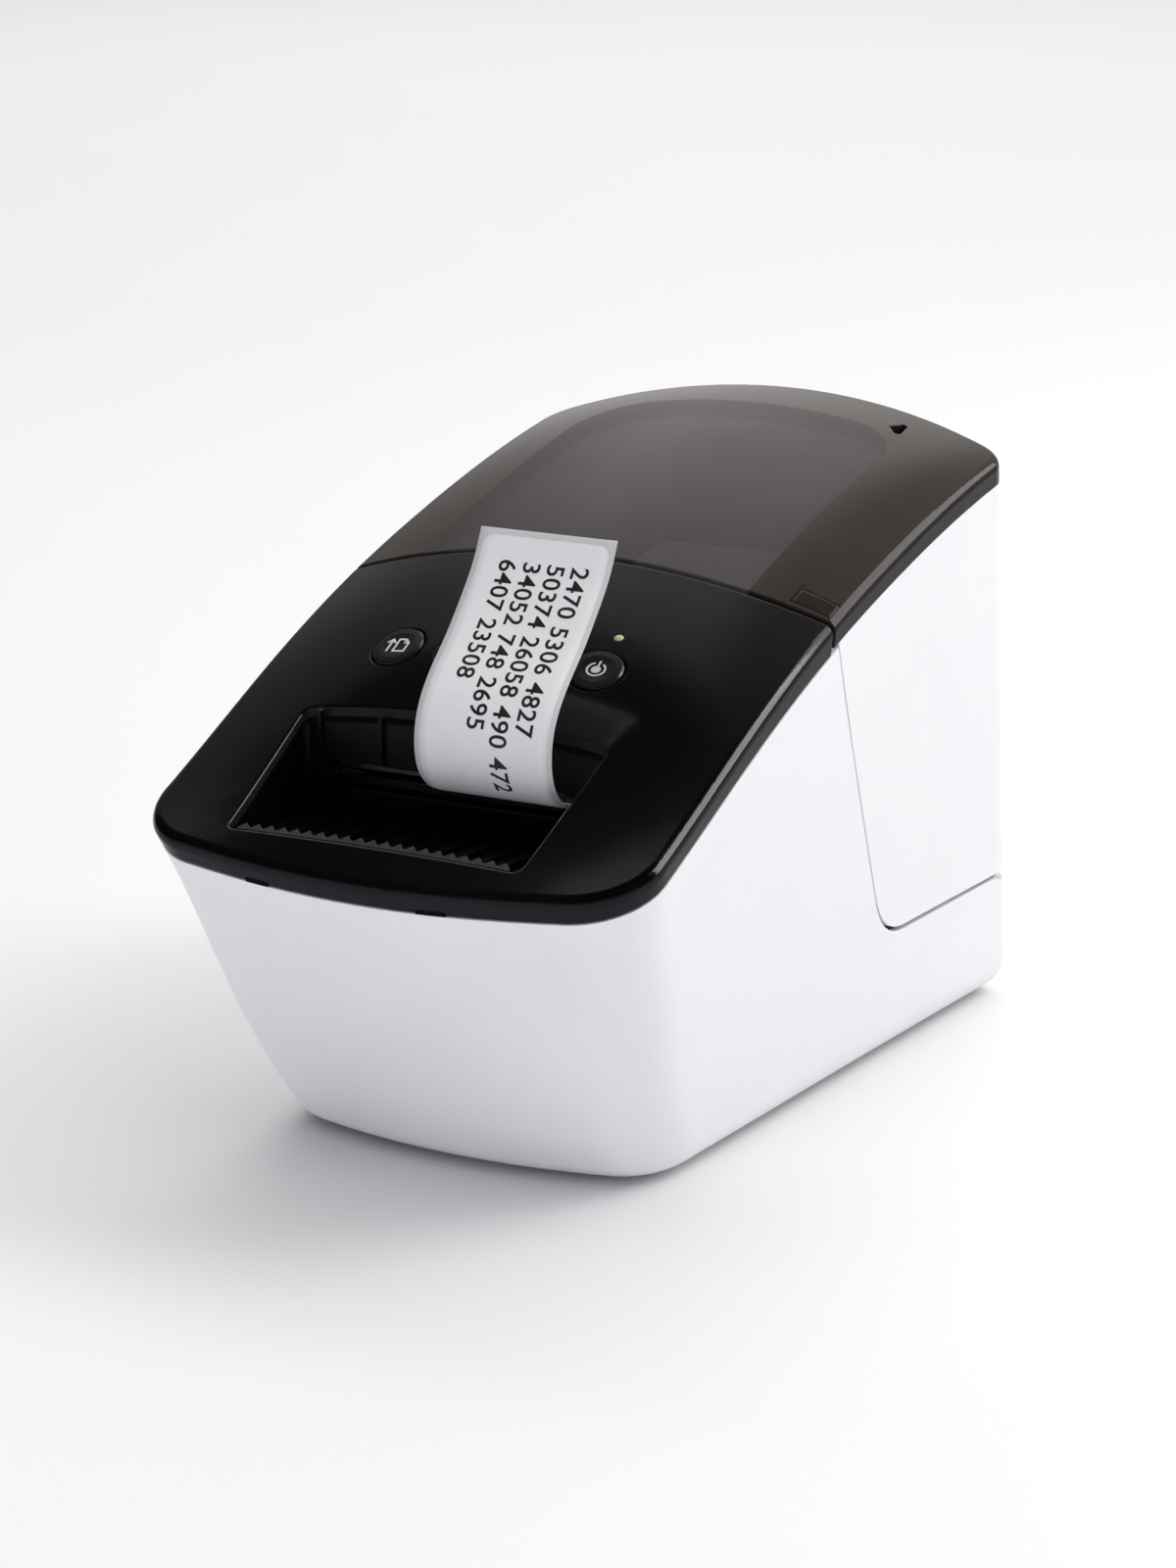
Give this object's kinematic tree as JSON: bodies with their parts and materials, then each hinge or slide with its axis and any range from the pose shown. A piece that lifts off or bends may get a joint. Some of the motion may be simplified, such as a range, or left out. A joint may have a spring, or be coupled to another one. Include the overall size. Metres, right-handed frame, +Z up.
{
  "type": "thermal label printer",
  "caption": "Desktop thermal label printer: white wedge body, dark gloss front with recessed outlet and round keys, smoky rear lid over a label roll, platen, head and cutter.",
  "frame": {"origin": "centre of the footprint box, on the surface the rubber feet stand on", "axes": "+X to the right seen from the front, +Y to the rear, +Z up; labels come out at the front, towards -Y"},
  "size_m": [0.128, 0.221, 0.1532],
  "materials": {
    "white_plastic": "satin moulded white",
    "black_gloss": "gloss moulded black with a warm tint",
    "smoke_window": "smoky see-through gloss",
    "black_plastic": "fine-grained moulded black",
    "grey_plastic": "moulded grey",
    "button_gloss": "gloss black with a white icon",
    "gear_plastic": "natural acetal",
    "rubber": "moulded rubber",
    "steel": "ground steel",
    "sheet_steel": "zinc-plated sheet",
    "blade_steel": "hardened ground blade",
    "motor_steel": "plated can",
    "brass": "turned brass",
    "aluminium": "extruded aluminium",
    "ceramic": "glazed ceramic",
    "paper": "white thermal paper",
    "board_green": "solder mask",
    "components": "moulded components",
    "ribbon_film": "polyester flat cable",
    "lamp_green": "clear green light pipe"
  },
  "bodies": {
    "base": {"base_housing": "white_plastic", "blade_guides": "black_plastic", "board_parts": "components", "board_screws": "steel", "bottom_plate": "grey_plastic", "button_board": "board_green", "case_screws": "steel", "cutter_motor": "motor_steel", "data_port": "sheet_steel", "feed_motor": "motor_steel", "fixed_blade": "blade_steel", "flat_ribbon": "ribbon_film", "frame_bridge": "sheet_steel", "frame_screws": "steel", "front_cover": "black_gloss", "head_pivot_shaft": "steel", "head_springs": "steel", "hinge_pins": "steel", "idler_stud": "steel", "label_sensor": "black_plastic", "label_web": "paper", "lamp_pipes": "lamp_green", "lid_switch": "black_plastic", "main_board": "board_green", "mains_inlet": "black_plastic", "mech_deck": "black_plastic", "outlet_chute": "black_plastic", "paper_guide": "black_plastic", "platen_bushes": "brass", "print_frame": "sheet_steel", "printed_label": "paper", "roll_tub": "black_plastic", "rubber_feet": "rubber", "spool_arm_left": "black_plastic", "spool_arm_right": "black_plastic", "supply_board": "board_green", "supply_parts": "components", "tact_switches": "components", "tear_bar": "black_plastic"},
    "lid": {"lid_window": "smoke_window", "lid_hood": "white_plastic", "lid_frame": "black_plastic"},
    "head": {"print_head": "ceramic", "head_bracket": "aluminium"},
    "roll": {"label_roll": "paper", "spool_core": "grey_plastic"},
    "platen": {"platen_shaft": "steel", "platen_rubber": "rubber", "platen_gear": "gear_plastic"},
    "idler": {"idler_gear": "gear_plastic"},
    "motor_rotor": {"motor_shaft": "steel", "motor_pinion": "brass"},
    "blade": {"moving_blade": "blade_steel", "blade_rack": "gear_plastic"},
    "cutter_rotor": {"cutter_shaft": "steel", "cutter_pinion": "brass"},
    "feed_key": {"feed_button": "button_gloss"},
    "cut_key": {"cut_button": "button_gloss"},
    "editor_key": {"editor_button": "button_gloss"},
    "power_key": {"power_button": "button_gloss"}
  },
  "joints": [
    {"name": "lid_hinge", "type": "hinge", "parent": "base", "child": "lid", "pos_m": [0, 0.1035, 0.0365], "axis": [-1, 0, 0], "range_deg": [0, 80]},
    {"name": "head_lift", "type": "hinge", "parent": "base", "child": "head", "pos_m": [0, -0.024, 0.1], "axis": [-1, 0, 0], "range_deg": [0, 6], "deforming": ["head_springs"]},
    {"name": "roll_spin", "type": "hinge", "parent": "base", "child": "roll", "pos_m": [0, 0.042, 0.084], "axis": [1, 0, 0], "continuous": true},
    {"name": "platen_spin", "type": "hinge", "parent": "base", "child": "platen", "pos_m": [0, -0.048, 0.0795], "axis": [1, 0, 0], "continuous": true},
    {"name": "idler_spin", "type": "hinge", "parent": "base", "child": "idler", "pos_m": [0, -0.042, 0.06911], "axis": [1, 0, 0], "continuous": true},
    {"name": "motor_spin", "type": "hinge", "parent": "base", "child": "motor_rotor", "pos_m": [0, -0.02723, 0.07171], "axis": [1, 0, 0], "continuous": true},
    {"name": "blade_slide", "type": "slide", "parent": "base", "child": "blade", "axis": [0, 0, -1], "range_m": [0, 0.005]},
    {"name": "cutter_spin", "type": "hinge", "parent": "base", "child": "cutter_rotor", "pos_m": [0, -0.057, 0.067], "axis": [1, 0, 0], "range_deg": [-2, 97]},
    {"name": "feed_press", "type": "slide", "parent": "base", "child": "feed_key", "axis": [0.1136, 0.4555, -0.883], "range_m": [0, 0.0008], "stiffness_N_per_m": 800},
    {"name": "cut_press", "type": "slide", "parent": "base", "child": "cut_key", "axis": [0.043, 0.4693, -0.882], "range_m": [0, 0.0008], "stiffness_N_per_m": 800},
    {"name": "editor_press", "type": "slide", "parent": "base", "child": "editor_key", "axis": [-0.0274, 0.4707, -0.8819], "range_m": [0, 0.0008], "stiffness_N_per_m": 800},
    {"name": "power_press", "type": "slide", "parent": "base", "child": "power_key", "axis": [-0.098, 0.4596, -0.8827], "range_m": [0, 0.0008], "stiffness_N_per_m": 800}
  ],
  "couplings": [
    {"joint": "head_lift", "follows": "lid_hinge", "ratio": 0.075},
    {"joint": "platen_spin", "follows": "roll_spin", "ratio": 6.3333},
    {"joint": "idler_spin", "follows": "roll_spin", "ratio": -11.762},
    {"joint": "motor_spin", "follows": "roll_spin", "ratio": 47.048},
    {"joint": "cutter_spin", "follows": "blade_slide", "rad_per_m": 333.33}
  ]
}
